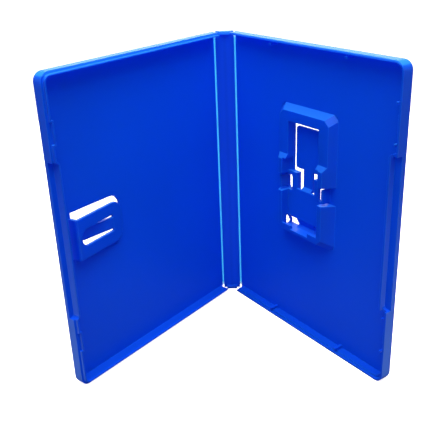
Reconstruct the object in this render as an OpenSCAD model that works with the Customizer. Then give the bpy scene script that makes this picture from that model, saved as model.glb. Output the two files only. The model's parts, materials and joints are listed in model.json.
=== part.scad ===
// Handheld game case: a book-style moulded case for one small game card.
// It stands open in a V on the lower edges of its covers and its spine.
// Each cover is drawn flat first: u runs from its hinge line to its free edge (X),
// w runs inwards from its outer face (Y), and Z is up. cover_pose() then turns it.
// The origin is the middle of the spine plate, at its bottom end.

/* [Case] */
// Height of the case along the hinge lines
case_h = 135; // [125:1:150]
// Width of a cover from its hinge line to its free edge
case_w = 104.2; // [98:0.1:116]
// Thickness of the closed case
case_t = 11.3; // [11.2:0.1:13]
// Thickness of the panels
panel_t = 1.2; // [1:0.1:1.4]
// Corner radius at the free edges, seen on the panel
corner_r = 4; // [3:0.5:6]
// Fillet round the outer faces
edge_r = 1.6; // [1:0.1:1.8]

/* [Opening] */
// Angle of the front cover at rest, from closed
front_open = 36.5; // [10:0.1:80]
// Angle of the rear cover at rest, from closed
rear_open = 37.3; // [10:0.1:80]

/* [Rims] */
// Height of the front skirt above the outer face
front_skirt_h = 5.3; // [5.1:0.1:5.8]
// Gap between the two rims of the closed case
parting_gap = 0.1; // [0.1:0.1:0.3]
// Thickness of the rear skirt
skirt_t = 0.8; // [0.7:0.1:1]
// Extra thickness of the rear skirt below the tongue that it takes
rabbet_t = 0.5; // [0.3:0.1:0.6]
// Clearance between the rear skirt and the tongue inside it
tongue_gap = 0.25; // [0.25:0.05:0.4]
// Thickness of the tongue on the front rim
tongue_t = 0.6; // [0.5:0.1:0.8]
// Height of the tongue above the front skirt
tongue_h = 1.1; // [1:0.1:1.6]

/* [Catches] */
// Distance of each catch from the nearer end of the case
catch_z = 22.4; // [21:0.1:23.5]
// Length of a catch bump on the rear skirt
catch_l = 6.4; // [5:0.1:8]
// How far the front tongue jogs inwards at a catch
catch_jog = 1; // [0.9:0.1:1.3]
// Clearance at each end of a bump in its recess
catch_gap = 1.1; // [0.6:0.1:1.5]
// How far a bump stands inwards from the rear skirt
catch_p = 0.8; // [0.5:0.1:0.9]

/* [Spine] */
// Distance between the two hinge lines
hinge_pitch = 9.4; // [9:0.1:11]
// Thickness of the spine plate
plate_t = 1.2; // [1:0.1:1.4]
// Width of a bent hinge web between the plate and a cover
web_w = 1; // [0.8:0.1:1.2]
// Thickness of a hinge web
web_t = 0.4; // [0.3:0.05:0.5]
// Distance of a web's ends from the ends of the case
web_inset = 1.2; // [0.8:0.1:2]
// Width of the flange at each end of the spine
flange_w = 5.3; // [4.5:0.1:6]
// Depth of a flange, with the plate
flange_d = 2.9; // [2.4:0.1:3.5]
// Thickness of a flange
flange_t = 1.4; // [1:0.1:2]

/* [Finger notch] */
// Length of the notch in the rims
notch_l = 59; // [50:0.5:65]
// Depth of the notch in both rims
notch_d = 2.6; // [2:0.1:2.8]
// Extra length of the pocket behind the notch, at each end
pocket_extra = 4.4; // [3:0.1:5]
// Depth of the pocket behind the notch, from the free edge
pocket_d = 2.4; // [2:0.1:2.8]
// Thickness of the wall behind the rear pocket
pocket_wall = 1; // [0.8:0.1:1.2]

/* [Booklet clip] */
// Height of the clip's middle above the middle of the case
clip_rise = -1.2; // [-5:0.1:5]
// Distance of the clip's riser from the free edge
clip_root = 8.3; // [6:0.1:12]
// Length of the clip plate
clip_l = 26.1; // [24:0.1:30]
// Width of the clip plate
clip_w = 17.8; // [16:0.1:22]
// Thickness of the clip plate
clip_t = 1.2; // [1:0.1:1.4]
// Height of the clip plate's top above the outer face, at its riser
clip_root_h = 5.3; // [5:0.1:5.4]
// Height of the clip plate's top above the outer face, at its tip
clip_tip_h = 2.6; // [2.4:0.1:3]
// Clearance of the window round the clip plate
window_gap = 2.3; // [1.5:0.1:3]
// Clearance between the clip's tip and the end of the window
tip_gap = 0.6; // [0.5:0.1:2]
// Width of the springy tongue in the clip plate
finger_w = 5; // [4:0.1:6]
// Length of that tongue
finger_l = 18; // [14:0.5:19]
// Width of the slots round it
slot_w = 1.2; // [0.9:0.1:1.6]

/* [Card holder] */
// Distance of the holder's middle from the hinge line
holder_u = 52; // [46:0.5:56]
// Height of the holder's lower end above the bottom of the case
holder_z = 47; // [40:0.5:55]
// Length of the card that it takes
card_l = 31; // [30.5:0.1:32]
// Width of that card
card_w = 22; // [21.5:0.1:22.5]
// Clearance on each side of the card
card_gap = 0.4; // [0.3:0.1:0.6]
// Height of the ring beside the card above the outer face
ring_h = 6.6; // [6.2:0.1:7]
// Height of the ring round the flexible tab
low_ring_h = 4.7; // [4.4:0.1:5]
// Wall thickness of the holder
holder_t = 1.1; // [0.9:0.1:1.3]
// Height of the card floor above the outer face
floor_h = 2.8; // [2.6:0.1:3]
// Width of the flexible tab
tab_w = 15.5; // [14:0.1:16]
// Length of the tab's wide part
tab_l = 19.2; // [17:0.1:20]
// Width of the tab's neck
neck_w = 5.8; // [5:0.1:7]
// Gap round the tab
tab_gap = 1.85; // [1.2:0.05:2]

/* [Film sleeve] */
// Thickness of the clear film over the outer faces
film_t = 0.15; // [0.1:0.05:0.3]
// Distance of the film from the edges of the case
film_inset = 1.8; // [1.6:0.1:3]

/* [Hidden] */
$fn = 48;
cut = 1;

rear_skirt_h = case_t - front_skirt_h - parting_gap;
tongue_in = skirt_t + tongue_gap;
front_wall = tongue_in + tongue_t;
tongue_top = front_skirt_h + tongue_h;
inner_r = corner_r - front_wall;
rabbet_wall = skirt_t + rabbet_t;
guide_in = front_wall + tongue_gap;
guide_t = 0.9;
guide_h = rear_skirt_h - 0.4;
end_guide_us = [31, 76];
end_guide_l = 1.3;
edge_guide_zs = [15, 30.6];
edge_guide_l = 0.8;
gusset_in = 0.6;
gusset_t = 0.7;
bump_h = 1.6;
bump_drop = 2.2;
heel_step = 0.2;
notch_r = 1.2;
pocket_r = 1.5;

axis_y = plate_t / 2 - web_t / 2;
axis_u = web_t / 2;
axis_w = (case_t - hinge_pitch) / 2;
leg_w = axis_w - web_w / 2;
plate_w = hinge_pitch - web_w;
heel_u = plate_t + tongue_gap;
heel_w = case_t / 2 - flange_w / 2 - tongue_gap;
rim_start_u = flange_d + tongue_gap;

mid_z = case_h / 2;
front_pocket_l = notch_l + 2 * pocket_extra;
rear_pocket_l = front_pocket_l - 2.4;
front_ledge_h = front_skirt_h - notch_d;
rear_ledge_h = rear_skirt_h - notch_d;
rear_pocket_d = pocket_d + tongue_t + tongue_gap;
under_tongue_h = case_t - tongue_top - tongue_gap;

clip_z = mid_z + clip_rise;
clip_u = case_w - clip_root;
tip_u = clip_u - clip_l;
window_w = clip_w + 2 * window_gap;
window_r = 5.5;
tip_r = 5;
finger_drop = 1.3;
finger_tip_u = clip_u - 2.7;
finger_root_u = finger_tip_u - finger_l;

bay_w = card_w + 2 * card_gap;
draft = 0.63;
ramp_dz = 2.1;
lip_over = 1.8;
end_t = 1.2;
bay_z = holder_z + draft * (ring_h - panel_t) + end_t;
card_z = bay_z + lip_over;
card_top_z = card_z + card_l;
low_z = card_top_z + ramp_dz - 0.3;
tab_z = card_top_z - 4.5;
tab_top_z = tab_z + tab_l;
well_w = tab_w + 2 * tab_gap;
well_top_z = tab_top_z + 2.2;
base_w = bay_w + 2 * (2.5 + draft * (ring_h - panel_t));
base_top_z = well_top_z + 4.5 + draft * (low_ring_h - panel_t);
window_end_z = bay_z + 4.4;
side_window_w = 5.8;
neck_bay_w = neck_w + 5.4;
floor_top_z = tab_z - 1.9;
neck_z = floor_top_z - 7.4;
neck_root_z = neck_z + 1.3;
finger_cut_l = 8.2;
finger_cut_z = neck_z - 1.8;
hole_w = 4.4;
hole_l = finger_cut_l - 0.8;
hole_out = bay_w / 2 + 1.5;
guard_h = 5.7;
guard_end = 1;
window_out = 3.4;
window_top = 3.7;
block_chamfer = 2.4;
base_seat = 0.5;

// Turns a flat cover to its place beside the spine, for the front cover's side.
module cover_pose(opened) {
    translate([-hinge_pitch / 2, axis_y, 0])
        rotate([0, 0, -90 - opened])
            translate([-axis_u, -axis_w, 0])
                children();
}

module front_pose() {
    cover_pose(front_open) children();
}

module rear_pose() {
    mirror([1, 0, 0]) cover_pose(rear_open) children();
}

// A rectangle with a radius on its far corners only.
module end_rounded(x0, x1, y0, y1, r) {
    union() {
        translate([x0, y0]) square([x1 - x0 - r, y1 - y0]);
        translate([x1 - 2 * r, y0 + r]) square([2 * r, y1 - y0 - 2 * r]);
        for (y = [y0 + r, y1 - r])
            translate([x1 - r, y]) circle(r = r);
    }
}

// A rectangle with all its corners rounded.
module rounded(x0, x1, y0, y1, r) {
    union() {
        translate([x0, y0 + r]) square([x1 - x0, y1 - y0 - 2 * r]);
        translate([x0 + r, y0]) square([x1 - x0 - 2 * r, y1 - y0]);
        for (x = [x0 + r, x1 - r], y = [y0 + r, y1 - r])
            translate([x, y]) circle(r = r);
    }
}

// Extrudes a plan drawn in u and z through the cover, from w0 to w1.
module through_w(w0, w1) {
    translate([0, w1, 0]) rotate([90, 0, 0]) linear_extrude(w1 - w0) children();
}

// Extrudes a profile drawn in w and z along the cover, from u0 to u1.
module along_u(u0, u1) {
    translate([u0, 0, 0]) rotate([90, 0, 90]) linear_extrude(u1 - u0) children();
}

// Extrudes a profile drawn in u and w up the cover, from z0 to z1.
module along_z(z0, z1) {
    translate([0, 0, z0]) linear_extrude(z1 - z0) children();
}

// Quarter profile of the edge at a free corner: radius outwards, w upwards.
module edge_profile(h) {
    intersection() {
        square([corner_r, h]);
        union() {
            square([corner_r - edge_r, h]);
            translate([0, edge_r]) square([corner_r, h]);
            translate([corner_r - edge_r, edge_r]) circle(r = edge_r);
        }
    }
}

// A cover's solid outer form up to a rim height, with filleted outer edges.
module cover_form(h) {
    along_u(0, case_w - corner_r)
        union() {
            translate([edge_r, 0]) square([h - edge_r, case_h]);
            translate([0, edge_r]) square([h, case_h - 2 * edge_r]);
            for (z = [edge_r, case_h - edge_r])
                translate([edge_r, z]) circle(r = edge_r);
        }
    along_z(corner_r, case_h - corner_r)
        translate([case_w - corner_r, 0]) edge_profile(h);
    translate([case_w - corner_r, 0, case_h - corner_r])
        rotate([-90, 0, 0]) mirror([0, 1, 0]) rotate_extrude(angle = 90) edge_profile(h);
    translate([case_w - corner_r, 0, corner_r])
        rotate([-90, 0, 0]) rotate_extrude(angle = 90) edge_profile(h);
}

// The hollow of a tray, inset by a wall, from the panel upwards.
module tray_hollow(wall, r, h) {
    through_w(panel_t, h + cut)
        end_rounded(-cut, case_w - wall, wall, case_h - wall, r);
}

// What the hinge end of a cover gives way to: the plate, the flanges and the web.
module hinge_clearance(h) {
    along_z(-cut, case_h + cut) {
        polygon([
            [-cut, leg_w],
            [web_t + heel_step, leg_w],
            [heel_u, panel_t],
            [rim_start_u, heel_w],
            [rim_start_u, h + cut],
            [-cut, h + cut],
        ]);
        difference() {
            translate([-cut, -cut]) square([leg_w + cut, leg_w + cut]);
            translate([leg_w, leg_w]) circle(r = leg_w);
        }
    }
}

// Cuts the notch out of the outer rim, with rounded lower corners.
module rim_notch(depth, floor_w, top_w) {
    r = notch_r;
    translate([case_w - depth, 0, 0])
        rotate([90, 0, 90])
            linear_extrude(depth + cut)
                translate([0, mid_z])
                    union() {
                        translate([floor_w + r, -notch_l / 2]) square([top_w - floor_w - r, notch_l]);
                        translate([floor_w, r - notch_l / 2]) square([top_w - floor_w, notch_l - 2 * r]);
                        for (side = [-1, 1])
                            translate([floor_w + r, side * (notch_l / 2 - r)]) circle(r = r);
                    }
}

// Plan of the pocket behind the notch, grown by the wall that surrounds it.
module pocket_plan(length, depth, extra) {
    half = length / 2 + extra;
    mirror([1, 0]) end_rounded(
        -case_w - cut, depth + extra - case_w, mid_z - half, mid_z + half, pocket_r + extra);
}

// Where the front tongue jogs inwards round a catch bump of the rear cover.
module catch_plan(extra) {
    half = catch_l / 2 + catch_gap + extra;
    depth = tongue_in + catch_jog + extra;
    for (z = [catch_z, case_h - catch_z])
        translate([case_w - depth, z - half]) square([depth, 2 * half]);
}

module tongue_outline() {
    end_rounded(0, case_w - tongue_in, tongue_in, case_h - tongue_in, corner_r - tongue_in);
}

module front_wall_plan() {
    difference() {
        tongue_outline();
        end_rounded(-cut, case_w - front_wall, front_wall, case_h - front_wall, inner_r);
    }
}

// Side view of the booklet clip: riser, sloping plate and rounded crest.
module clip_side() {
    crest = 0.5;
    polygon([
        [tip_u, clip_tip_h],
        [clip_u - clip_t, clip_root_h],
        [clip_u, clip_root_h],
        [clip_u + crest, clip_root_h - crest],
        [clip_u + clip_t, panel_t],
        [clip_u + clip_t, 0],
        [clip_u, 0],
        [clip_u - clip_t / 2, clip_root_h - clip_t],
        [tip_u, clip_tip_h - clip_t],
    ]);
}

module clip_plan() {
    mirror([1, 0]) end_rounded(
        -clip_u - 2 * clip_t, -tip_u, clip_z - clip_w / 2, clip_z + clip_w / 2, tip_r);
}

module finger_plan(extra) {
    half = finger_w / 2 + extra;
    translate([finger_root_u, clip_z - half]) square([finger_l - half + extra, 2 * half]);
    translate([finger_tip_u + extra - half, clip_z]) circle(r = half);
}

// The springy tongue of the clip, bent down towards the panel.
module finger() {
    slope = (clip_root_h - clip_tip_h) / clip_l;
    root_h = clip_tip_h + slope * (finger_root_u - tip_u);
    intersection() {
        through_w(0, clip_root_h) finger_plan(0);
        along_z(clip_z - clip_w / 2, clip_z + clip_w / 2)
            polygon([
                [finger_root_u - 1, root_h - slope],
                [finger_root_u + 1, root_h],
                [finger_tip_u + 1, root_h - finger_drop - clip_t / 4],
                [finger_tip_u + 1, root_h - finger_drop - clip_t],
                [finger_root_u + 1, root_h - clip_t],
                [finger_root_u - 1, root_h - slope - clip_t],
            ]);
    }
}

module booklet_clip() {
    difference() {
        intersection() {
            along_z(clip_z - clip_w / 2, clip_z + clip_w / 2) clip_side();
            through_w(-cut, case_t) clip_plan();
        }
        through_w(-cut, case_t)
            difference() {
                finger_plan(slot_w);
                translate([0, clip_z - clip_w / 2]) square([finger_root_u, clip_w]);
            }
    }
    finger();
}

module clip_window() {
    mirror([1, 0]) end_rounded(
        -clip_u, -tip_u + tip_gap, clip_z - window_w / 2, clip_z + window_w / 2, window_r);
}

module front_cover() {
    color([0.06, 0.27, 0.82])
        front_pose() {
            difference() {
                union() {
                    cover_form(front_skirt_h);
                    through_w(panel_t, tongue_top)
                        intersection() {
                            tongue_outline();
                            union() {
                                front_wall_plan();
                                catch_plan(tongue_t);
                                pocket_plan(front_pocket_l, pocket_d, tongue_t);
                            }
                        }
                }
                difference() {
                    tray_hollow(front_wall, inner_r, tongue_top);
                    through_w(0, tongue_top + 2 * cut) catch_plan(tongue_t);
                    through_w(0, tongue_top + 2 * cut) pocket_plan(front_pocket_l, pocket_d, tongue_t);
                }
                through_w(front_skirt_h, tongue_top + cut) catch_plan(0);
                through_w(front_ledge_h, tongue_top + cut) pocket_plan(front_pocket_l, pocket_d, 0);
                rim_notch(pocket_d, front_ledge_h, tongue_top + cut);
                hinge_clearance(tongue_top);
                through_w(-cut, panel_t + cut) clip_window();
            }
            booklet_clip();
        }
}

module spine() {
    color([0.05, 0.24, 0.76]) {
        translate([-plate_w / 2, -plate_t / 2, 0]) cube([plate_w, plate_t, case_h]);
        for (z = [0, case_h - flange_t])
            translate([-flange_w / 2, plate_t / 2 - flange_d, z]) cube([flange_w, flange_d, flange_t]);
    }
}

// Drafted block of the card holder, inset by a wall thickness for its hollow.
module holder_block(inset, w0) {
    half = base_w / 2 - inset;
    rise = ring_h - inset;
    low_rise = low_ring_h - inset;
    z0 = holder_z + inset;
    z1 = base_top_z - inset;
    u0 = holder_u - half;
    intersection() {
        along_z(z0, z1)
            polygon([
                [u0, w0],
                [u0, panel_t],
                [u0 + draft * (rise - panel_t), rise],
                [u0 + 2 * half - draft * (rise - panel_t), rise],
                [u0 + 2 * half, panel_t],
                [u0 + 2 * half, w0],
            ]);
        along_u(u0, u0 + 2 * half)
            polygon([
                [w0, z0],
                [panel_t, z0],
                [rise, z0 + draft * (rise - panel_t)],
                [rise, low_z - ramp_dz - inset / 2],
                [low_rise, low_z - inset / 2],
                [low_rise, z1 - draft * (low_rise - panel_t)],
                [panel_t, z1],
                [w0, z1],
            ]);
    }
}

// Trims the block's four upright corners with drafted faces at 45 degrees.
module block_corners(inset, w0) {
    uc = holder_u;
    zc = (holder_z + base_top_z) / 2;
    rise = ring_h - panel_t;
    half = (base_w / 2 + (base_top_z - holder_z) / 2 - block_chamfer) / sqrt(2) - inset;
    lean = draft * sqrt(2) * rise;
    intersection_for (turn = [-45, 45])
        translate([uc, 0, zc])
            rotate([0, turn, 0])
                translate([0, 0, -case_h])
                    linear_extrude(2 * case_h)
                        polygon([
                            [-half, w0],
                            [-half, panel_t],
                            [lean - half, ring_h],
                            [half - lean, ring_h],
                            [half, panel_t],
                            [half, w0],
                        ]);
}

// Plan of the tub inside the ring: the card bay below and the tab's well above.
module tub_plan(extra) {
    translate([holder_u - bay_w / 2 - extra, bay_z - extra])
        square([bay_w + 2 * extra, card_top_z - bay_z + 2 * extra]);
    translate([holder_u - well_w / 2 - extra, card_top_z - cut])
        square([well_w + 2 * extra, well_top_z - card_top_z + cut + extra]);
}

module tab_plan() {
    rounded(holder_u - tab_w / 2, holder_u + tab_w / 2, tab_z, tab_top_z, 1.2);
    translate([holder_u - neck_w / 2, neck_root_z]) square([neck_w, tab_z - neck_root_z + cut]);
}

// The raised card floor with its V-shaped lower end and the ramp to the neck.
module card_floor() {
    intersection() {
        through_w(0, floor_h)
            difference() {
                translate([holder_u - bay_w / 2 - holder_t / 2, bay_z - holder_t / 2])
                    square([bay_w + holder_t, floor_top_z - bay_z + holder_t / 2]);
                translate([holder_u - neck_bay_w / 2, neck_z]) square([neck_bay_w, floor_top_z]);
                for (side = [0, 1])
                    translate([holder_u - bay_w / 2 + side * (bay_w - side_window_w), bay_z])
                        square([side_window_w, window_end_z - bay_z]);
            }
        along_u(holder_u - bay_w, holder_u + bay_w)
            polygon([
                [floor_h, floor_top_z],
                [floor_h, bay_z + 4.7],
                [holder_t, bay_z + 1.2],
                [2.4, bay_z],
                [2.4, bay_z - holder_t],
                [0, bay_z - holder_t],
                [0, bay_z + 2],
                [floor_h - holder_t, bay_z + 4.7],
                [floor_h - holder_t, floor_top_z],
            ]);
    }
    along_z(neck_z - 0.2, neck_root_z)
        translate([holder_u - neck_w / 2, panel_t - 1]) square([neck_w, 1]);
    intersection() {
        translate([holder_u - neck_w / 2, 0, neck_z - 1]) cube([neck_w, floor_h, 3]);
        along_u(holder_u - neck_w / 2, holder_u + neck_w / 2)
            polygon([
                [floor_h - holder_t, neck_z - 1],
                [floor_h, neck_z - 1],
                [floor_h, neck_z],
                [panel_t, neck_root_z],
                [0.2, neck_root_z],
            ]);
    }
}

module retaining_lips() {
    for (side = [-1, 1])
        translate([holder_u + side * (bay_w / 2 - 2.9) - 2.9, 0, bay_z - end_t])
            intersection() {
                translate([0, ring_h - 1.7, 0]) cube([5.8, 1.7, end_t + lip_over]);
                along_u(0, 5.8)
                    polygon([
                        [ring_h - 1.7, 0],
                        [ring_h, 0],
                        [ring_h, end_t + lip_over],
                        [ring_h - 0.8, end_t + lip_over],
                        [ring_h - 1.7, end_t],
                    ]);
            }
}

// Gaps in both side walls, where a finger and thumb take the card's edges.
module finger_cuts(w0, extra) {
    translate([holder_u - base_w / 2 - cut, w0, finger_cut_z - extra])
        cube([base_w + 2 * cut, case_t, finger_cut_l + 2 * extra]);
}

module finger_holes() {
    through_w(-2 * cut, case_t)
        for (side = [0, 1])
            mirror([side, 0])
                translate([-hole_out + (side == 0 ? holder_u : -holder_u), finger_cut_z + 0.1])
                    rounded(0, hole_w, 0, hole_l, 1);
}

// A low wall outside each finger hole, with a slit at each of its ends.
module finger_guards() {
    for (side = [0, 1])
        translate([holder_u, 0, 0]) mirror([side, 0, 0])
            translate([-hole_out - holder_t, 0.2, finger_cut_z + guard_end])
                cube([holder_t, guard_h - 0.2, finger_cut_l - 2 * guard_end]);
}

// Openings under the side walls beside the retaining lips.
module side_windows() {
    for (side = [0, 1])
        translate([holder_u, -2 * cut, 0]) mirror([side, 0, 0])
            translate([-bay_w / 2 - window_out, 0, bay_z])
                cube([window_out + cut, window_top + 2 * cut, window_end_z - bay_z]);
}

// Strips at panel level that narrow the hole to the well's width beside the bay.
module well_ledges() {
    for (side = [0, 1])
        translate([holder_u, 0.1, 0]) mirror([side, 0, 0])
            translate([-bay_w / 2 - holder_t / 2, 0, floor_top_z - holder_t])
                cube([(bay_w - well_w) / 2 + holder_t / 2, panel_t - 0.1, card_top_z - floor_top_z + 1.5 * holder_t]);
}

// Walls that close the card floor's edges down to the panel's outer face.
module floor_edges() {
    through_w(0.2, floor_h)
        difference() {
            translate([holder_u - bay_w / 2, neck_z - holder_t])
                square([bay_w, floor_top_z - neck_z + holder_t]);
            translate([holder_u - bay_w / 2 - cut, neck_z - 2 * holder_t])
                square([(bay_w - neck_bay_w) / 2 + cut - holder_t, floor_top_z - neck_z + holder_t]);
            translate([holder_u + neck_bay_w / 2 + holder_t, neck_z - 2 * holder_t])
                square([bay_w, floor_top_z - neck_z + holder_t]);
            translate([holder_u - neck_bay_w / 2, neck_z - 2 * holder_t])
                square([neck_bay_w, floor_top_z - neck_z + 2 * holder_t + cut]);
        }
}

module card_holder() {
    difference() {
        intersection() {
            holder_block(0, 0);
            block_corners(0, 0);
        }
        difference() {
            intersection() {
                holder_block(holder_t, -cut);
                block_corners(holder_t, -cut);
            }
            through_w(-2 * cut, case_t) tub_plan(holder_t);
            finger_cuts(-2 * cut, holder_t);
        }
        through_w(-2 * cut, case_t) tub_plan(0);
        finger_cuts(panel_t, 0);
        finger_holes();
        side_windows();
    }
    finger_guards();
    well_ledges();
    difference() {
        union() {
            card_floor();
            floor_edges();
        }
        finger_holes();
    }
    through_w(0.2, panel_t) tab_plan();
    retaining_lips();
}

// The wall behind the rear pocket: its ends stay under the front cover's tongue.
module rear_pocket_wall() {
    end_h = under_tongue_h;
    intersection() {
        union() {
            through_w(0, end_h) pocket_plan(rear_pocket_l, rear_pocket_d, pocket_wall);
            through_w(0, rear_skirt_h)
                intersection() {
                    pocket_plan(rear_pocket_l, rear_pocket_d, pocket_wall);
                    square([case_w - rear_pocket_d, case_h]);
                }
        }
        cover_form(rear_skirt_h);
    }
}

// A guide that keeps the tongue against the rear skirt: low at the wall, with a
// post inside the tongue. It is drawn outwards from the skirt's inner face.
module tongue_guide(width) {
    translate([-width / 2, panel_t / 2, skirt_t / 2])
        cube([width, under_tongue_h - panel_t / 2, guide_in + guide_t - skirt_t / 2]);
    translate([-width / 2, panel_t / 2, guide_in])
        cube([width, guide_h - panel_t / 2, guide_t]);
}

module skirt_guides() {
    for (u = end_guide_us, side = [0, 1])
        translate([u, 0, side * case_h]) mirror([0, 0, side]) tongue_guide(end_guide_l);
    for (z = edge_guide_zs, side = [0, 1])
        translate([case_w, 0, side * case_h]) mirror([0, 0, side])
            translate([0, 0, z]) rotate([0, -90, 0]) tongue_guide(edge_guide_l);
    for (side = [0, 1])
        translate([case_w - corner_r - gusset_in, panel_t / 2, side * case_h]) mirror([0, 0, side])
            translate([0, 0, gusset_in]) rotate([0, -45, 0])
                translate([0, 0, -gusset_t / 2])
                    cube([1.2 * corner_r, under_tongue_h - panel_t / 2, gusset_t]);
}

module catch_bumps() {
    for (z = [catch_z, case_h - catch_z])
        translate([case_w - skirt_t - catch_p, rear_skirt_h - bump_drop, z - catch_l / 2])
            cube([catch_p + skirt_t / 2, bump_h, catch_l]);
}

module rear_cover() {
    color([0.06, 0.3, 0.86])
        rear_pose() {
            difference() {
                union() {
                    difference() {
                        cover_form(rear_skirt_h);
                        tray_hollow(rabbet_wall, corner_r - rabbet_wall, rear_skirt_h);
                        through_w(under_tongue_h, rear_skirt_h + cut)
                            end_rounded(-cut, case_w - skirt_t, skirt_t, case_h - skirt_t, corner_r - skirt_t);
                    }
                    rear_pocket_wall();
                    skirt_guides();
                    catch_bumps();
                }
                through_w(rear_ledge_h, rear_skirt_h + cut) pocket_plan(rear_pocket_l, rear_pocket_d, 0);
                rim_notch(rear_pocket_d, rear_ledge_h, rear_skirt_h + cut);
                hinge_clearance(rear_skirt_h);
                through_w(-cut, panel_t + cut)
                    translate([holder_u - base_w / 2 + base_seat, holder_z + base_seat])
                        square([base_w - 2 * base_seat, base_top_z - holder_z - 2 * base_seat]);
            }
            card_holder();
        }
}

// The bent web between a cover's leg and the spine plate, for one side.
module hinge_web(opened) {
    reach = web_w / 2;
    r = reach / tan(opened / 2);
    translate([-hinge_pitch / 2 + reach, axis_y + r, web_inset])
        rotate([0, 0, -90 - opened])
            rotate_extrude(angle = opened)
                translate([r - web_t / 2, 0]) square([web_t, case_h - 2 * web_inset]);
}

module front_hinge_web() {
    color([0.12, 0.62, 1]) hinge_web(front_open);
}

module rear_hinge_web() {
    color([0.12, 0.62, 1]) mirror([1, 0, 0]) hinge_web(rear_open);
}

module cover_film() {
    through_w(-film_t, 0)
        translate([film_inset, film_inset]) square([case_w - 2 * film_inset, case_h - 2 * film_inset]);
}

module sleeve_front() {
    color([0.86, 0.93, 1]) front_pose() cover_film();
}

module sleeve_rear() {
    color([0.86, 0.93, 1]) rear_pose() cover_film();
}

module sleeve_spine() {
    color([0.86, 0.93, 1])
        translate([-plate_w / 2, plate_t / 2, film_inset])
            cube([plate_w, film_t, case_h - 2 * film_inset]);
}

front_cover();
spine();
rear_cover();
front_hinge_web();
rear_hinge_web();
sleeve_front();
sleeve_spine();
sleeve_rear();
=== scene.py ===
# %% [markdown]
# A book-style case for a small game card, standing open in a V on a white table.
# The real one is a single shot of translucent blue polypropylene, wrapped in a clear film.
# This lesson loads the case's solids, adds what the film does at the hinges, gives every
# surface its finish, and sets the light and the camera.

import json
import math

import bpy
import numpy as np
from mathutils import Matrix, Vector


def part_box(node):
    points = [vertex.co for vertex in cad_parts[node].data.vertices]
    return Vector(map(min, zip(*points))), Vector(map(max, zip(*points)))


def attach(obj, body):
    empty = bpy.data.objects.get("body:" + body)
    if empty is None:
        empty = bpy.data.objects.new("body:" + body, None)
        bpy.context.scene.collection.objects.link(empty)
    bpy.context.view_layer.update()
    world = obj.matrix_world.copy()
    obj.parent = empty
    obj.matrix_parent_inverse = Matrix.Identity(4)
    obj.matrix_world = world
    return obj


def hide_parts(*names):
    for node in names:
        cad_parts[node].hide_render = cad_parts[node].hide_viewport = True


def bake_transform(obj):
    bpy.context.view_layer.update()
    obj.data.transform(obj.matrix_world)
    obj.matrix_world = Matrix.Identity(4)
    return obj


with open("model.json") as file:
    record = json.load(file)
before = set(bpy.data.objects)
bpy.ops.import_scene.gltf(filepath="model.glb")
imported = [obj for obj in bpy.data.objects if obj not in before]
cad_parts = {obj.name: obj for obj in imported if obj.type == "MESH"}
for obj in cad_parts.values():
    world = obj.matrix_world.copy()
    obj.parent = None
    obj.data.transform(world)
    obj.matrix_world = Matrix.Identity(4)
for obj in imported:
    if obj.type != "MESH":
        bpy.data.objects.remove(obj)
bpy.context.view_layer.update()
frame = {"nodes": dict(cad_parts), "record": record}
nodes = frame["nodes"]
scene = bpy.context.scene
MM = 0.001
print("solids:", ", ".join(sorted(nodes)))

# %% [markdown]
# The camera stands in front of the open case, a little above its top edge, and looks down
# into the V. Its place, angles and lens were solved from the corners and hinge lines, so the
# numbers are real ones: millimetres from the foot of the spine, and degrees.

# %% Camera
CAMERA_AT = (8.92, -320.64, 181.04)
YAW, PITCH, ROLL = 2.98, 23.37, 2.34
LENS = 56.6
SENSOR = 36.0


def turned(angle, axis):
    """A rotation matrix about one axis, from an angle in degrees."""
    return Matrix.Rotation(math.radians(angle), 3, axis)


facing = turned(YAW, "Z") @ turned(-PITCH, "X") @ turned(ROLL, "Y")
right, ahead, up = (Vector(column) for column in facing.transposed())
camera = bpy.data.objects.new("camera", bpy.data.cameras.new("camera"))
camera.data.lens = LENS
camera.data.sensor_width = SENSOR
camera.data.clip_start = 0.01
turn = Matrix((right, up, -ahead)).transposed().to_4x4()
camera.matrix_world = Matrix.Translation(Vector(CAMERA_AT) * MM) @ turn
scene.collection.objects.link(camera)
scene.camera = camera
print("camera at", [round(c * MM, 4) for c in CAMERA_AT], "lens", LENS)

# %% [markdown]
# A material starts as an empty node tree. One helper adds a node with its settings and its
# links, and another turns an sRGB hex colour into the linear numbers that the shader wants.

# %% Material helpers


def linear(hex_colour):
    """Each sRGB channel c becomes c / 12.92 below 0.04045, else ((c + 0.055) / 1.055) ^ 2.4."""
    srgb = np.array([int(hex_colour[i : i + 2], 16) for i in (1, 3, 5)]) / 255
    low, high = srgb / 12.92, ((srgb + 0.055) / 1.055) ** 2.4
    return (*np.where(srgb <= 0.04045, low, high).tolist(), 1.0)


def add(tree, kind, settings=None, **links):
    """Adds a node. A setting names a field or an unlinked input, by its name or its number. A
    link names an input: _0 is the first socket, and Base_Color is the socket "Base Color"."""
    node = tree.nodes.new(kind)
    for name, value in (settings or {}).items():
        if isinstance(name, int) or name in node.inputs:
            node.inputs[name].default_value = value
        else:
            setattr(node, name, value)
    for name, source in links.items():
        number = name[1:]
        socket = int(number) if number.isdigit() else name.replace("_", " ")
        tree.links.new(source, node.inputs[socket])
    return node


def new_material(name):
    """An empty material and its node tree."""
    material = bpy.data.materials.new(name)
    material.use_nodes = True
    material.node_tree.nodes.clear()
    return material, material.node_tree


print("white is", linear("#ffffff"))

# %% [markdown]
# Polypropylene is a soft, slightly waxy plastic. The mould's spark-eroded face leaves a fine
# grain, so its gloss is broad and weak. Dyed and only 1.2 mm thick, it lets some light through.
# How much shows depends on the place, and the next cells paint that light and shade into the
# colour as masks: numbers from 0 to 1 that say where the plastic is painted paler or darker.
# They are mixed into one colour at the end.

# %% Grain, tone and painted shade
GRAIN_MM = 0.35
GRAIN_DEPTH_MM = 0.05
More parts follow.
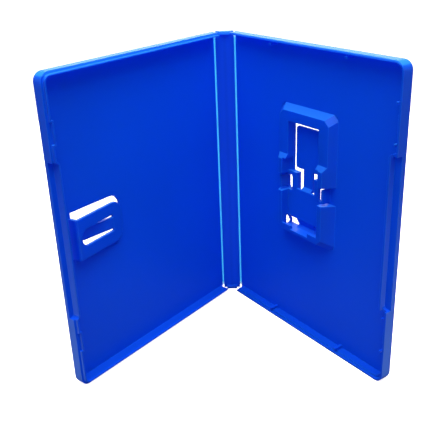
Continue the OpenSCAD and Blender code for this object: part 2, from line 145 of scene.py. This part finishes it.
# Painted shade: the spine between the hinge lines, and a line down its middle, are darkened by
# these factors.
SPINE_PAINTED_SHADE = 0.8
MIDDLE_LINE_PAINTED_SHADE = 0.86


def grain_bump(tree, place, normal):
    """The mould's fine grain, as a bump on a given normal."""
    settings = {"Scale": 1 / (GRAIN_MM * MM), "Detail": 2.0}
    grain = add(tree, "ShaderNodeTexNoise", settings, Vector=place)
    depth = {"Strength": 0.06, "Distance": GRAIN_DEPTH_MM * MM}
    bump = add(tree, "ShaderNodeBump", depth, Height=grain.outputs[0], Normal=normal)
    return bump.outputs[0]


def tone_and_painted_spine_shade(tree, place, across):
    """The tone of the dye, a slow noise, times painted shade: a darker spine between the two
    hinge lines, and a faint darker line down the spine's middle."""
    flow = add(tree, "ShaderNodeTexNoise", {"Scale": 18.0, "Detail": 1.0}, Vector=place)
    slow = {"From Min": 0.3, "From Max": 0.7, "To Min": 0.94, "To Max": 1.06}
    spine_shade_spread = {"From Min": 4.2 * MM, "From Max": 4.4 * MM, "To Min": SPINE_PAINTED_SHADE, "To Max": 1.0}
    middle_line_spread = {"From Min": 0.1 * MM, "From Max": 1.2 * MM, "To Min": MIDDLE_LINE_PAINTED_SHADE, "To Max": 1.0}
    tone = add(tree, "ShaderNodeMapRange", slow, Value=flow.outputs[0]).outputs[0]
    shade = add(tree, "ShaderNodeMapRange", spine_shade_spread, Value=across).outputs[0]
    line = add(tree, "ShaderNodeMapRange", middle_line_spread, Value=across).outputs[0]
    times = {"operation": "MULTIPLY"}
    painted_shade = add(tree, "ShaderNodeMath", times, _0=shade, _1=line).outputs[0]
    return add(tree, "ShaderNodeMath", times, _0=tone, _1=painted_shade).outputs[0]


print("grain of", GRAIN_MM, "mm; spine at", SPINE_PAINTED_SHADE, "of the panels' tone")

# %% [markdown]
# Where the wall ends in a rim, light leaves the plastic again and the edge looks paler; here
# that is a painted highlight. The Bevel node finds those edges: it bends the normal near them,
# and the bend itself says how close a point is to an edge. Near the very top, the whole wall is
# painted paler, as painted light from above.

# %% Painted edge highlights and crown light
EDGE_MM = 0.5
# Painted highlight: how far the rims' edges turn to the paler edge blue.
EDGE_HIGHLIGHT_SHARE = 0.85
# Painted light: above these heights the wall is painted paler.
CROWN_FROM, CROWN_TO = 133.3, 133.8
CROWN_LIGHT_SHARE = 0.75


def painted_edge_highlight_mask(tree, face, rounded):
    """The cosine between the true and the rounded normal, spread from 0 to the share of the
    painted edge highlight.
    """
    true = face.outputs["True Normal"]
    bend = add(tree, "ShaderNodeVectorMath", {"operation": "DOT_PRODUCT"}, _0=rounded, _1=true)
    spread = {"From Min": 0.998, "From Max": 0.86, "To Min": 0.0, "To Max": EDGE_HIGHLIGHT_SHARE}
    return add(tree, "ShaderNodeMapRange", spread, Value=bend.outputs["Value"]).outputs[0]


def painted_crown_light_mask(tree, height):
    """Painted light from above: from 0 to the crown's share between two heights just under the
    case's top.
    """
    spread = {"From Min": CROWN_FROM * MM, "From Max": CROWN_TO * MM, "To Max": CROWN_LIGHT_SHARE}
    return add(tree, "ShaderNodeMapRange", spread, Value=height).outputs[0]


print("edges within", EDGE_MM, "mm; crown above", CROWN_FROM, "mm")

# %% [markdown]
# Faces that look up take the most light through the wall, and more so the higher they are; that
# light is painted into their colour. The outer faces of the skirts look down at the white table,
# so they carry a painted pale veil of the table's light that fades with height. Both masks read
# the piece's own coordinates, so they move with the piece.

# %% Painted light on upward faces and skirts
TOP_LIGHT_SHARE = 0.75
LIT_FROM, LIT_TO = 30, 80
SKIRT_FROM = 60
# Painted light from the table: the skirts' veil is palest low down and fades with height.
VEIL_FROM, VEIL_TO = 15, 100
VEIL_LOW, VEIL_HIGH = 0.85, 0.1


def painted_top_light_mask(tree, face):
    """Painted light: from 0 to the top share as the face's normal turns up to the vertical."""
    tilt = add(tree, "ShaderNodeSeparateXYZ", _0=face.outputs["Normal"])
    spread = {"From Min": 0.35, "From Max": 0.95, "To Max": TOP_LIGHT_SHARE}
    return add(tree, "ShaderNodeMapRange", spread, Value=tilt.outputs["Z"]).outputs[0]


def painted_table_light_on_skirts(tree, across, height):
    """Painted light from the white table: the product of three shares, facing outwards, near the
    free edge, and near the table.
    """
    own = add(tree, "ShaderNodeTexCoord").outputs["Normal"]
    facing_y = add(tree, "ShaderNodeSeparateXYZ", _0=own).outputs["Y"]
    out_spread = {"From Min": -0.7, "From Max": -0.76}
    edge_spread = {"From Min": SKIRT_FROM * MM, "From Max": (SKIRT_FROM + 2) * MM}
    low_spread = {"From Min": VEIL_FROM * MM, "From Max": VEIL_TO * MM}
    low_spread |= {"To Min": VEIL_LOW, "To Max": VEIL_HIGH}
    outwards = add(tree, "ShaderNodeMapRange", out_spread, Value=facing_y).outputs[0]
    at_edge = add(tree, "ShaderNodeMapRange", edge_spread, Value=across).outputs[0]
    near_table = add(tree, "ShaderNodeMapRange", low_spread, Value=height).outputs[0]
    times = {"operation": "MULTIPLY"}
    skirt = add(tree, "ShaderNodeMath", times, _0=outwards, _1=at_edge).outputs[0]
    return add(tree, "ShaderNodeMath", times, _0=skirt, _1=near_table).outputs[0]


print("upward faces take up to", TOP_LIGHT_SHARE, "of the top colour")

# %% [markdown]
# Now the masks' painted light and shade are laid over the body's blue, one after another. The
# satin body is a Principled shader with a low specular level, and a Translucent shader beside it
# lets light through.

# %% Moulded polypropylene
# The panel blue and the glow blue are the plastic's own; the five between them are painted
# light: edge highlights, crown light, the table's light on the skirts, and the upward faces'
# light from low to high.
PANEL_BLUE = "#0459d8"
EDGE_HIGHLIGHT_BLUE = "#1c8cff"
CROWN_PAINTED_LIGHT_BLUE = "#34acff"
PAINTED_TABLE_LIGHT_BLUE = "#69a5f6"
LOW_PAINTED_LIGHT_BLUE = "#0a5cff"
TOP_PAINTED_LIGHT_BLUE = "#2c98ff"
GLOW_BLUE = "#1a7cff"
ROUGHNESS = 0.45
THROUGH = 0.4


def case_colour(tree, place, face, rounded):
    """The body's blue with painted light laid over it: highlights on the edges, light on the
    crown, the table's light on the skirts, and light on the upward faces.
    """
    xyz = add(tree, "ShaderNodeSeparateXYZ", _0=place).outputs
    across = add(tree, "ShaderNodeMath", {"operation": "ABSOLUTE"}, _0=xyz["X"]).outputs[0]
    tone = tone_and_painted_spine_shade(tree, place, across)
    blue = {"operation": "MULTIPLY", 0: linear(PANEL_BLUE)[:3]}
    colour = add(tree, "ShaderNodeVectorMath", blue, _1=tone).outputs[0]
    # Painted highlights on the edges, painted light on the crown and the table's painted light
    # on the skirts, each mixed over the blue.
    for mask, paler in (
        (painted_edge_highlight_mask(tree, face, rounded), EDGE_HIGHLIGHT_BLUE),
        (painted_crown_light_mask(tree, xyz["Z"]), CROWN_PAINTED_LIGHT_BLUE),
        (painted_table_light_on_skirts(tree, across, xyz["Z"]), PAINTED_TABLE_LIGHT_BLUE),
    ):
        layer = {"data_type": "RGBA", 7: linear(paler)}
        colour = add(tree, "ShaderNodeMix", layer, _0=mask, _6=colour).outputs[2]
    # Painted light on upward faces: a paler blue that grows with the height above the table.
    spread = {"From Min": LIT_FROM * MM, "From Max": LIT_TO * MM}
    painted_light_by_height = add(tree, "ShaderNodeMapRange", spread, Value=xyz["Z"]).outputs[0]
    painted_top_colours = {"data_type": "RGBA", 6: linear(LOW_PAINTED_LIGHT_BLUE), 7: linear(TOP_PAINTED_LIGHT_BLUE)}
    lifted = add(tree, "ShaderNodeMix", painted_top_colours, _0=painted_light_by_height).outputs[2]
    upward = painted_top_light_mask(tree, face)
    lit = add(tree, "ShaderNodeMix", {"data_type": "RGBA"}, _0=upward, _6=colour, _7=lifted)
    return lit.outputs[2]


def moulded_polypropylene():
    """Blue moulded plastic: a satin body with painted light and shade, paler at its painted edge
    highlights, mixed with light let through.
    """
    material, tree = new_material("moulded_polypropylene_blue")
    place = add(tree, "ShaderNodeTexCoord").outputs["Object"]
    face = add(tree, "ShaderNodeNewGeometry")
    bevel = {"samples": 4, "Radius": EDGE_MM * MM}
    true = face.outputs["True Normal"]
    rounded = add(tree, "ShaderNodeBevel", bevel, Normal=true).outputs[0]
    body = add(
        tree,
        "ShaderNodeBsdfPrincipled",
        {"Roughness": ROUGHNESS, "IOR": 1.49, "Specular IOR Level": 0.2},
        Base_Color=case_colour(tree, place, face, rounded),
        Normal=grain_bump(tree, place, rounded),
    ).outputs[0]
    glow = add(tree, "ShaderNodeBsdfTranslucent", {"Color": linear(GLOW_BLUE)}).outputs[0]
    mixed = add(tree, "ShaderNodeMixShader", {"Fac": THROUGH}, _1=body, _2=glow)
    add(tree, "ShaderNodeOutputMaterial", Surface=mixed.outputs[0])
    return material


case_plastic = moulded_polypropylene()
print("material:", case_plastic.name)

# %% [markdown]
# At a live hinge the plastic is squeezed to 0.4 mm and its chains are drawn out, so it lets far
# more light through and looks like a bright cyan thread. That light is painted into the web's
# colour: it is thinnest in its middle, which is painted brightest, and its two ends are painted
# nearly white as a painted highlight.

# %% Live hinge web, with painted light
HINGE_HALF = 4.7
WEB_HALF = 0.5
CASE_H = 135.0
PAINTED_END_MM = 3.5
# Painted light: the web's bright middle and its nearly white ends take these colours.
WEB_MIDDLE_PAINTED_LIGHT = "#8cf6ff"
WEB_SIDE = "#0a80ff"
WEB_END_PAINTED_HIGHLIGHT = "#e8feff"
WEB_THROUGH = 0.7


def distance(tree, value, centre):
    """How far a value lies from a centre: |value - centre|."""
    off = add(tree, "ShaderNodeMath", {"operation": "SUBTRACT", 1: centre}, _0=value)
    return add(tree, "ShaderNodeMath", {"operation": "ABSOLUTE"}, _0=off.outputs[0]).outputs[0]


def web_finish_with_painted_light():
    """Thin plastic with painted light: its colour runs from a bright middle to its sides, and to
    painted highlights at its ends.
    """
    material, tree = new_material("thin_polypropylene_web")
    place = add(tree, "ShaderNodeTexCoord").outputs["Object"]
    xyz = add(tree, "ShaderNodeSeparateXYZ", _0=place).outputs
    across = add(tree, "ShaderNodeMath", {"operation": "ABSOLUTE"}, _0=xyz["X"]).outputs[0]
    aside = distance(tree, across, HINGE_HALF * MM)
    half = CASE_H / 2 * MM
    high = distance(tree, xyz["Z"], half)
    side_spread = {"From Min": 0.5 * WEB_HALF * MM, "From Max": 0.95 * WEB_HALF * MM}
    end_spread = {"From Min": half - PAINTED_END_MM * MM, "From Max": half - 0.4 * PAINTED_END_MM * MM}
    side = add(tree, "ShaderNodeMapRange", side_spread, Value=aside).outputs[0]
    end = add(tree, "ShaderNodeMapRange", end_spread, Value=high).outputs[0]
    sides = {"data_type": "RGBA", 6: linear(WEB_MIDDLE_PAINTED_LIGHT), 7: linear(WEB_SIDE)}
    thread = add(tree, "ShaderNodeMix", sides, _0=side).outputs[2]
    painted_end_layer = {"data_type": "RGBA", 7: linear(WEB_END_PAINTED_HIGHLIGHT)}
    colour = add(tree, "ShaderNodeMix", painted_end_layer, _0=end, _6=thread).outputs[2]
    body = add(tree, "ShaderNodeBsdfDiffuse", Color=colour).outputs[0]
    glow = add(tree, "ShaderNodeBsdfTranslucent", Color=colour).outputs[0]
    mixed = add(tree, "ShaderNodeMixShader", {"Fac": WEB_THROUGH}, _1=body, _2=glow)
    add(tree, "ShaderNodeOutputMaterial", Surface=mixed.outputs[0])
    return material


web_plastic = web_finish_with_painted_light()
print("material:", web_plastic.name)

# %% [markdown]
# The sleeve is clear polypropylene film, cast smooth and shiny. Most of what it does to the
# eye is a faint sharp reflection over the blue, so it is mostly transparent with a thin gloss.
# Fresnel makes the gloss grow at a shallow angle, and slow ripples break its reflections.

# %% Clear film
CLEAR = (1.0, 1.0, 1.0, 1.0)
FILM_GLOSS = 0.3
RIPPLE_MM = 0.2


def film():
    """Clear film: see-through, with a gloss that grows at a shallow angle."""
    material, tree = new_material("clear_polypropylene_film")
    place = add(tree, "ShaderNodeTexCoord").outputs["Object"]
    ripple = add(tree, "ShaderNodeTexNoise", {"Scale": 40.0, "Detail": 1.0}, Vector=place)
    depth = {"Strength": 0.15, "Distance": RIPPLE_MM * MM}
    bump = add(tree, "ShaderNodeBump", depth, Height=ripple.outputs[0]).outputs[0]
    clear = add(tree, "ShaderNodeBsdfTransparent", {"Color": CLEAR}).outputs[0]
    shiny = {"Color": CLEAR, "Roughness": 0.12}
    gloss = add(tree, "ShaderNodeBsdfGlossy", shiny, Normal=bump).outputs[0]
    edge = add(tree, "ShaderNodeFresnel", {"IOR": 1.49}).outputs[0]
    weaker = {"operation": "MULTIPLY", "use_clamp": True, 1: FILM_GLOSS}
    share = add(tree, "ShaderNodeMath", weaker, _0=edge).outputs[0]
    mixed = add(tree, "ShaderNodeMixShader", Fac=share, _1=clear, _2=gloss)
    add(tree, "ShaderNodeOutputMaterial", Surface=mixed.outputs[0])
    return material


clear_film = film()
finishes = {"case_blue": case_plastic, "web_blue": web_plastic, "clear_film": clear_film}
for part in frame["record"]["subparts"]:
    mesh = nodes[part["node"]].data
    mesh.materials.clear()
    mesh.materials.append(finishes[part["material_slot"]])
print("finished nodes:", len(nodes))

# %% [markdown]
# Two things bend when a cover moves: the live hinge, a web of plastic 0.4 mm thick, and the
# clear film that runs over it. Each is a strip with a constant profile along the case's height,
# so one function is enough: it takes the middle line of the strip seen from above, gives it a
# thickness, and carries it from the bottom to the top.

# %% The hinge's own geometry
AXIS_Y = 0.4
WEB_T = 0.4
FACE_TO_AXIS = 0.95
BODIES = {"front": "front_body", "rear": "rear_body"}
SIDES = {"front": -1, "rear": 1}
web_low, web_high = (np.array(corner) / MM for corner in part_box("front_hinge_web"))
film_low, film_high = (np.array(corner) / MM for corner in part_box("sleeve_spine"))


def opened(joint_name):
    """The angle of a cover from closed, in degrees: its hinge's limit on the closing side."""
    joint = next(j for j in frame["record"]["behaviour"]["joints"] if j["name"] == joint_name)
    low, high = joint["range_deg"]
    return high if joint_name == "front_hinge" else -low


OPEN = {"front": opened("front_hinge"), "rear": opened("rear_hinge")}
print("covers stand open by", OPEN, "degrees; webs from", web_low[2], "to", web_high[2], "mm")

# %% A strip with a constant profile
SHARP_DEGREES = 35


def strip(name, middle, thickness, z0, z1, material, side):
    """A closed strip: points p(t) of the middle line, moved by +-thickness / 2 along the
    line's normal n(t) = (-dy, dx) / |(dx, dy)|, at each height z. side is -1 or 1 and
    mirrors the line's X, which also turns the order of its faces round."""
    middle = np.asarray(middle, float)
    step = np.gradient(middle, axis=0)
    normal = np.stack([-step[:, 1], step[:, 0]], 1) / np.linalg.norm(step, axis=1)[:, None]
    offset = normal * thickness / 2
    ring = np.concatenate([middle + offset, (middle - offset)[::-1]])
    ring[:, 0] *= -side
    if side > 0:
        ring = ring[::-1]
    count, levels = len(ring), np.array([z0, z1])
    points = np.concatenate([np.column_stack([ring, np.full(count, z)]) for z in levels]) * MM
    along = np.arange(count)
    after = (along + 1) % count
    sides = np.stack([along, along + count, after + count, after], 1).tolist()
    half = np.arange(count // 2 - 1)
    caps = np.stack([half, half + 1, count - 2 - half, count - 1 - half], 1)
    upper = (caps + count)[:, ::-1]
    mesh = bpy.data.meshes.new(name)
    mesh.from_pydata(points.tolist(), [], sides + caps.tolist() + upper.tolist())
    mesh.materials.append(material)
    mesh.shade_smooth()
    mesh.set_sharp_from_angle(angle=math.radians(SHARP_DEGREES))
    strip_object = bpy.data.objects.new(name, mesh)
    scene.collection.objects.link(strip_object)
    return strip_object


def arc(centre, radius, start, end, count=13):
    """Points on a circle: centre + radius * (cos a, sin a), with a from start to end degrees."""
    a = np.radians(np.linspace(start, end, count))
    return np.asarray(centre) + radius * np.stack([np.cos(a), np.sin(a)], 1)


def on_cover(u, w, angle):
    """A cover's own (u, w) in the row frame, on the front side: u runs from the hinge to the
    free edge, w inwards from the outer face."""
    turn = math.radians(-90 - angle)
    along = np.array([math.cos(turn), math.sin(turn)])
    inwards = np.array([-along[1], along[0]])
    hinge = np.array([-HINGE_HALF, AXIS_Y])
    return hinge + (u - WEB_T / 2) * along + (w - FACE_TO_AXIS) * inwards


def bend_across(piece):
    """Bakes the piece's placement into its mesh."""
    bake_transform(piece)


print("a point 10 mm along the front cover:", on_cover(10, 0, OPEN["front"]).round(2))

# %% [markdown]
# The web leaves the spine plate's edge, bends through the cover's opening angle and enters the
# cover's leg. It is an arc that is tangent to both, so its radius is half the web's width over
# the tangent of half the angle. The strip runs on a little at both ends, into the plastic.

# %% Hinge webs
RUN_ON = 4

for cover, side in SIDES.items():
    radius = WEB_HALF / math.tan(math.radians(OPEN[cover] / 2))
    centre = (-HINGE_HALF + WEB_HALF, AXIS_Y + radius)
    line = arc(centre, radius, -90 + RUN_ON, -90 - OPEN[cover] - RUN_ON)
    web = strip(f"bent_web_{cover}", line, WEB_T, web_low[2], web_high[2], web_plastic, side)
    bend_across(web)
    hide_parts(f"{cover}_hinge_web")
    print(web.name, "radius", round(radius, 2), "mm")

# %% [markdown]
# The film is held on the outside. Over a cover and over the spine it lies flat, a hair off the
# plastic. Between them it has nothing beneath it: it leaves the spine's back, passes round the
# rounded heel of the cover and lies down on the cover's face. So each cover's film is one sheet
# whose line is a straight run, an arc just outside the heel's radius, and a long straight run.

# %% Film over the covers
PLATE_EDGE = 4.2
PLATE_FACE = 0.6
HEEL_R = FACE_TO_AXIS - WEB_HALF
FILM_T = 0.15
FILM_OFF = FILM_T / 2 + 0.03
COVER_W = 104.2
FILM_INSET = 1.8


def film_line(angle):
    """The film's middle line on the front side, from the spine's edge to the free edge."""
    start = np.array([-PLATE_EDGE, PLATE_FACE + FILM_OFF])
    heel = on_cover(HEEL_R, HEEL_R, angle)
    radius = HEEL_R + FILM_OFF
    gap = start - heel
    tangent = math.acos(radius / np.linalg.norm(gap))
    lean = math.degrees(math.atan2(gap[1], gap[0])) + math.degrees(tangent)
    run = np.linspace(start, arc(heel, radius, lean, lean, 1)[0], 5)[:-1]
    bend = arc(heel, radius, lean, 180 - angle)
    rest = np.linspace(bend[-1], on_cover(COVER_W - FILM_INSET, -FILM_OFF, angle), 9)[1:]
    return np.concatenate([run, bend, rest]), bend[0]


for cover, side in SIDES.items():
    line, first = film_line(OPEN[cover])
    piece = strip(f"film_{cover}", line, FILM_T, film_low[2], film_high[2], clear_film, side)
    bend_across(piece)
    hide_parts(f"sleeve_{cover}")
    run_mm = float(np.linalg.norm(np.diff(line, axis=0), axis=1).sum())
    print(piece.name, "runs", round(run_mm, 1), "mm")

# %% Film over the spine
film_y = PLATE_FACE + FILM_OFF
back = np.linspace((-PLATE_EDGE, film_y), (PLATE_EDGE, film_y), 5)
spine_film = strip("film_spine", back, FILM_T, film_low[2], film_high[2], clear_film, -1)
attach(spine_film, "spine_body")
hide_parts("sleeve_spine")
print("film from", film_low[2].round(2), "to", film_high[2].round(2), "mm")

# %% [markdown]
# Under the card holder the panel is open, and the block that stands over the opening has its
# corners cut off at 45 degrees. The real panel closes each of those corners. A small triangular
# plate inside the panel's thickness does it here. A long thin plate does the same along the
# lower edge of the booklet clip's window, which the real clip hides. Each is a prism: a few
# points carried through the panel are enough.

# %% Closing plates
PLATE_W = (0.1, 1.1)


def panel_plate(name, cover, outline):
    """A prism inside the panel: convex corners (u, z) in the cover's own frame, each carried
    through the thickness from w0 to w1. The faces turn outwards where the volume is positive."""
    count = len(outline)
    points = np.array([(*on_cover(u, w, OPEN[cover]), z) for w in PLATE_W for u, z in outline])
    points[:, 0] *= -SIDES[cover]
    fan = [(0, i, i + 1) for i in range(1, count - 1)]
    faces = fan + [(count + k, count + j, count + i) for i, j, k in fan]
    for i in range(count):
        j = (i + 1) % count
        faces += [(j, i, i + count), (j, i + count, j + count)]
    tri = points[np.array(faces)] - points.mean(0)
    volume = np.einsum("ij,ij->i", tri[:, 0], np.cross(tri[:, 1], tri[:, 2])).sum() / 6
    if volume < 0:
        faces = [face[::-1] for face in faces]
    mesh = bpy.data.meshes.new(name)
    mesh.from_pydata((points * MM).tolist(), [], faces)
    mesh.materials.append(case_plastic)
    plate = bpy.data.objects.new(name, mesh)
    scene.collection.objects.link(plate)
    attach(plate, BODIES[cover])
    print(name, round(abs(volume), 2), "mm3")


# %% Corners under the card holder
OPENING_U = (35.198, 68.802)
OPENING_Z = (47.5, 107.507)
PLATE_LEG = 2.0
INTO_PANEL = 0.2

for i, u in enumerate(OPENING_U):
    for j, z in enumerate(OPENING_Z):
        in_u, in_z = 1 - 2 * i, 1 - 2 * j
        u0, z0 = u - in_u * INTO_PANEL, z - in_z * INTO_PANEL
        corners = [(u0, z0), (u0 + in_u * PLATE_LEG, z0), (u0, z0 + in_z * PLATE_LEG)]
        panel_plate(f"holder_corner_{i}{j}", "rear", corners)

# %% Lower edge of the clip's window
WINDOW_EDGE = [(71.5, 54.9), (96.1, 54.9), (96.1, 57.5), (71.5, 56.6)]
panel_plate("clip_window_edge", "front", WINDOW_EDGE)

# %% [markdown]
# The table and the room are white. The colours should come out as they are written, so nothing
# here is stronger than it has to be. Seen directly, the table and the room are plain white: the
# Light Path node tells the camera's rays from the ones that only carry light. The table gives
# its own light back a little grey, or the blue would be washed out from below.

# %% Table
WHITE = "#fffffd"
TABLE_PAINT = "#f4efe8"
BOUNCE_GREY = "#8a8b90"
TABLE_LIFT = 0.87
TABLE_HALF = 3.0


def white_stage():
    """A white floor that still takes the case's shadow, paler where it is seen directly."""
    mesh = bpy.data.meshes.new("table")
    size = TABLE_HALF
    corners = [(-size, -size, 0), (size, -size, 0), (size, size, 0), (-size, size, 0)]
    mesh.from_pydata(corners, [], [(0, 1, 2, 3)])
    table = bpy.data.objects.new("table", mesh)
    scene.collection.objects.link(table)
    material, tree = new_material("matt_white_table")
    paint = add(tree, "ShaderNodeBsdfDiffuse", {"Color": linear(TABLE_PAINT)}).outputs[0]
    bounce = add(tree, "ShaderNodeBsdfDiffuse", {"Color": linear(BOUNCE_GREY)}).outputs[0]
    light = {"Color": linear(WHITE), "Strength": TABLE_LIFT}
    seen = add(tree, "ShaderNodeEmission", light).outputs[0]
    lifted = add(tree, "ShaderNodeAddShader", _0=paint, _1=seen).outputs[0]
    direct = add(tree, "ShaderNodeLightPath").outputs["Is Camera Ray"]
    mixed = add(tree, "ShaderNodeMixShader", _0=direct, _1=bounce, _2=lifted)
    add(tree, "ShaderNodeOutputMaterial", Surface=mixed.outputs[0])
    mesh.materials.append(material)


white_stage()
print("table of", 2 * TABLE_HALF, "m")

# %% [markdown]
# The room's own light is soft: stronger from above than from the level, as in a light tent. A
# broad lamp above lights the rims, a weak one stands in front, and one behind shines through
# the thin plastic.

# %% Room light
ROOM_ABOVE = 0.34
ROOM_LEVEL = 0.05
MIRRORED = 0.45


def room_light():
    """White where it is seen, dimmer where it is mirrored, and softer for the light it gives."""
    world = bpy.data.worlds.new("soft_white_room")
    scene.world = world
    world.use_nodes = True
    tree = world.node_tree
    tree.nodes.clear()
    path = add(tree, "ShaderNodeLightPath").outputs
    either = {"operation": "MAXIMUM"}
    seen, through = path["Is Camera Ray"], path["Is Transmission Ray"]
    direct = add(tree, "ShaderNodeMath", either, _0=seen, _1=through).outputs[0]
    dim = {"operation": "MULTIPLY", 1: MIRRORED}
    dimmed = add(tree, "ShaderNodeMath", dim, _0=path["Is Glossy Ray"]).outputs[0]
    white = add(tree, "ShaderNodeMath", either, _0=direct, _1=dimmed).outputs[0]
    way = add(tree, "ShaderNodeTexCoord").outputs["Generated"]
    height = add(tree, "ShaderNodeSeparateXYZ", _0=way).outputs["Z"]
    spread = {"From Min": 0.0, "From Max": 0.8, "To Min": ROOM_LEVEL, "To Max": ROOM_ABOVE}
    soft = add(tree, "ShaderNodeMapRange", spread, Value=height).outputs[0]
    strength = add(tree, "ShaderNodeMapRange", {"To Max": 1.0}, Value=white, To_Min=soft)
    sky = add(tree, "ShaderNodeBackground", {"Color": CLEAR}, Strength=strength.outputs[0])
    add(tree, "ShaderNodeOutputWorld", Surface=sky.outputs[0])


room_light()
print("room:", ROOM_LEVEL, "at the level to", ROOM_ABOVE, "above")

# %% Lamps
V_CENTRE = (0.0, -40.0, 60.0)
LAMPS = {
    "lamp_above": ((0.0, -170.0, 560.0), 500.0, 5.2),
    "lamp_in_front": ((0.0, -650.0, 330.0), 400.0, 0.12),
    "lamp_behind": ((0.0, 340.0, 100.0), 480.0, 2.8),
}


def lamp(name, at, size, watts):
    """A square area lamp, in millimetres and watts, turned towards the middle of the V."""
    light = bpy.data.lights.new(name, "AREA")
    light.size, light.energy = size * MM, watts
    holder = bpy.data.objects.new(name, light)
    way = (Vector(V_CENTRE) - Vector(at)).normalized()
    turn = way.to_track_quat("-Z", "Y").to_matrix().to_4x4()
    holder.matrix_world = Matrix.Translation(Vector(at) * MM) @ turn
    scene.collection.objects.link(holder)


for name, (at, size, watts) in LAMPS.items():
    lamp(name, at, size, watts)
scene.view_settings.view_transform = "Standard"
print("lamps:", ", ".join(LAMPS))
